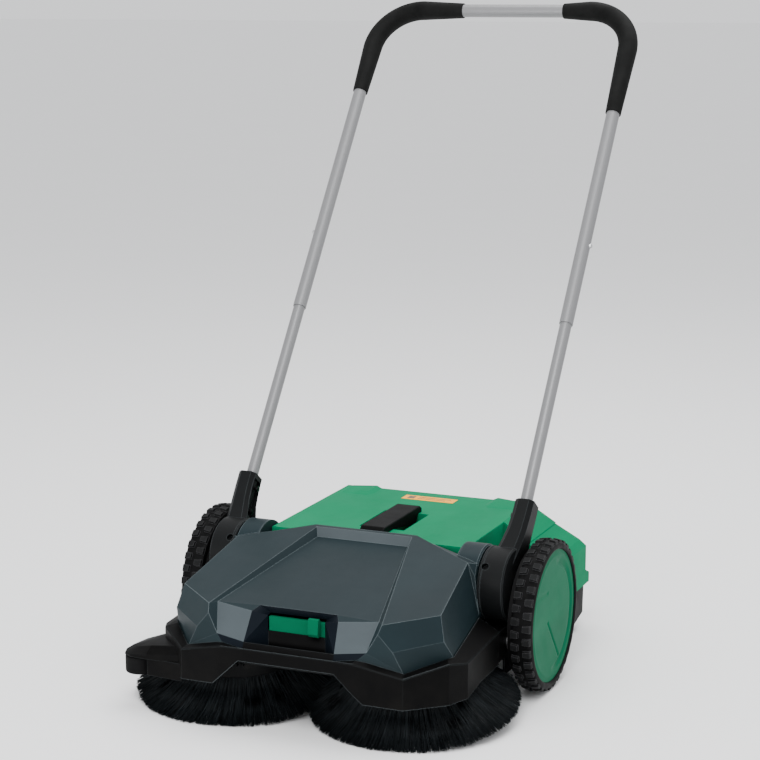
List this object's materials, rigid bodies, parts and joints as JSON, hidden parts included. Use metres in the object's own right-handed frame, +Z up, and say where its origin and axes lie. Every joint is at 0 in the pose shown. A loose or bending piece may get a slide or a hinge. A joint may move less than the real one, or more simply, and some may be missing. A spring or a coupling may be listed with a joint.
{
  "type": "lawn sweeper",
  "caption": "Push sweeper with twin disc brushes turned by the wheels, a lift-out dirt container and a folding U-shaped tube handle.",
  "frame": {"origin": "on the ground under the middle of the machine's box", "axes": "+Z up, +X to the right seen from the front, so the sweeper moves forward along -Y"},
  "size_m": [0.58, 0.9226, 1.0244],
  "materials": {
    "hood_plastic": "satin moulded",
    "black_plastic": "fine moulded grain",
    "green_plastic": "semi-gloss moulded",
    "rim_plastic": "moulded",
    "tyre": "moulded tread",
    "rubber": "matte",
    "foam": "foam",
    "tube": "satin anodised",
    "steel": "zinc plated",
    "gear_plastic": "moulded",
    "bristle": "bristle"
  },
  "bodies": {
    "root": {"chassis": "black_plastic", "hood": "hood_plastic", "hood_screws": "steel", "slider_guide": "black_plastic", "gear_bracket_left": "black_plastic", "gear_bracket_right": "black_plastic", "gear_hanger_left": "black_plastic", "gear_hanger_right": "black_plastic", "gear_pin_left": "steel", "gear_pin_right": "steel", "stub_axle_left": "steel", "stub_axle_right": "steel", "shaft_bushes": "steel", "pivot_bolts": "steel", "guide_cover": "black_plastic", "guide_pin": "steel"},
    "brush_bridge": {"brush_bridge": "gear_plastic", "cam_pin": "steel", "brush_post_left": "steel", "brush_post_right": "steel", "brush_nuts": "steel"},
    "roller": {"roller_core": "steel", "roller_bristles": "bristle", "roller_gear": "gear_plastic"},
    "height_slider": {"height_slider": "green_plastic"},
    "handle": {"handle_bracket_left": "black_plastic", "handle_bracket_right": "black_plastic", "lower_tube_left": "tube", "lower_tube_right": "tube", "upper_tube": "tube", "grip_left": "foam", "grip_right": "foam", "bracket_screws": "steel"},
    "guide_roller": {"guide_roller": "rubber"},
    "container": {"container_shell": "green_plastic", "handle_tray": "green_plastic", "container_pan": "black_plastic", "dirt_lip": "rubber", "carry_handle": "black_plastic", "handle_screws": "steel"},
    "wheel_left": {"tyre_left": "tyre", "rim_left": "rim_plastic", "wheel_cap_left": "green_plastic"},
    "drive_left": {"drive_shaft_left": "steel", "wheel_pinion_left": "gear_plastic", "crown_pinion_left": "gear_plastic"},
    "upright_left": {"upright_gear_left": "gear_plastic"},
    "brush_left": {"brush_plate_left": "gear_plastic", "brush_bristles_left": "bristle"},
    "snap_left": {"snap_button_left": "steel"},
    "wheel_right": {"tyre_right": "tyre", "rim_right": "rim_plastic", "wheel_cap_right": "green_plastic"},
    "drive_right": {"drive_shaft_right": "steel", "wheel_pinion_right": "gear_plastic", "crown_pinion_right": "gear_plastic"},
    "upright_right": {"upright_gear_right": "gear_plastic"},
    "brush_right": {"brush_plate_right": "gear_plastic", "brush_bristles_right": "bristle"},
    "snap_right": {"snap_button_right": "steel"}
  },
  "joints": [
    {"name": "wheel_spin_left", "type": "hinge", "parent": "root", "child": "wheel_left", "pos_m": [-0.269, -0.12329, 0.1164], "axis": [1, 0, 0], "continuous": true},
    {"name": "drive_spin_left", "type": "hinge", "parent": "root", "child": "drive_left", "pos_m": [-0.22, -0.18447, 0.08787], "axis": [1, 0, 0], "continuous": true},
    {"name": "upright_spin_left", "type": "hinge", "parent": "root", "child": "upright_left", "pos_m": [-0.15726, -0.17729, 0.03983], "axis": [0, -0.1478, 0.989], "continuous": true},
    {"name": "brush_spin_left", "type": "hinge", "parent": "brush_bridge", "child": "brush_left", "pos_m": [-0.137, -0.30929, 0.0201], "axis": [0, -0.1478, 0.989], "continuous": true},
    {"name": "snap_press_left", "type": "slide", "parent": "handle", "child": "snap_left", "axis": [-1, 0, 0], "range_m": [-0.0035, 0], "stiffness_N_per_m": 800},
    {"name": "wheel_spin_right", "type": "hinge", "parent": "root", "child": "wheel_right", "pos_m": [0.269, -0.12329, 0.1164], "axis": [1, 0, 0], "continuous": true},
    {"name": "drive_spin_right", "type": "hinge", "parent": "root", "child": "drive_right", "pos_m": [0.22, -0.18447, 0.08787], "axis": [1, 0, 0], "continuous": true},
    {"name": "upright_spin_right", "type": "hinge", "parent": "root", "child": "upright_right", "pos_m": [0.15726, -0.17729, 0.03983], "axis": [0, -0.1478, 0.989], "continuous": true},
    {"name": "brush_spin_right", "type": "hinge", "parent": "brush_bridge", "child": "brush_right", "pos_m": [0.137, -0.30929, 0.0201], "axis": [0, -0.1478, 0.989], "continuous": true},
    {"name": "snap_press_right", "type": "slide", "parent": "handle", "child": "snap_right", "axis": [1, 0, 0], "range_m": [-0.0035, 0], "stiffness_N_per_m": 800},
    {"name": "roller_spin", "type": "hinge", "parent": "root", "child": "roller", "pos_m": [0, -0.07528, 0.05878], "axis": [1, 0, 0], "continuous": true},
    {"name": "height_slide", "type": "slide", "parent": "root", "child": "height_slider", "axis": [1, 0, 0], "range_m": [-0.05, 0]},
    {"name": "bridge_lift", "type": "slide", "parent": "root", "child": "brush_bridge", "axis": [0, -0.1478, 0.989], "range_m": [0, 0.006]},
    {"name": "handle_fold", "type": "hinge", "parent": "root", "child": "handle", "pos_m": [0, -0.17529, 0.173], "axis": [1, 0, 0], "range_deg": [0, 126]},
    {"name": "guide_spin", "type": "hinge", "parent": "root", "child": "guide_roller", "pos_m": [-0.262, -0.41329, 0.06], "axis": [0, 0, 1], "continuous": true},
    {"name": "container_lift", "type": "slide", "parent": "root", "child": "container", "axis": [0, 0, 1], "range_m": [0, 0.2]}
  ],
  "couplings": [
    {"joint": "drive_spin_left", "follows": "wheel_spin_left", "ratio": 4},
    {"joint": "upright_spin_left", "follows": "wheel_spin_left", "ratio": -2.4},
    {"joint": "brush_spin_left", "follows": "wheel_spin_left", "ratio": 0.975},
    {"joint": "drive_spin_right", "follows": "wheel_spin_right", "ratio": 4},
    {"joint": "upright_spin_right", "follows": "wheel_spin_right", "ratio": 2.4},
    {"joint": "brush_spin_right", "follows": "wheel_spin_right", "ratio": -0.975},
    {"joint": "roller_spin", "follows": "wheel_spin_left", "ratio": 6},
    {"joint": "bridge_lift", "follows": "height_slide", "ratio": -0.12}
  ]
}
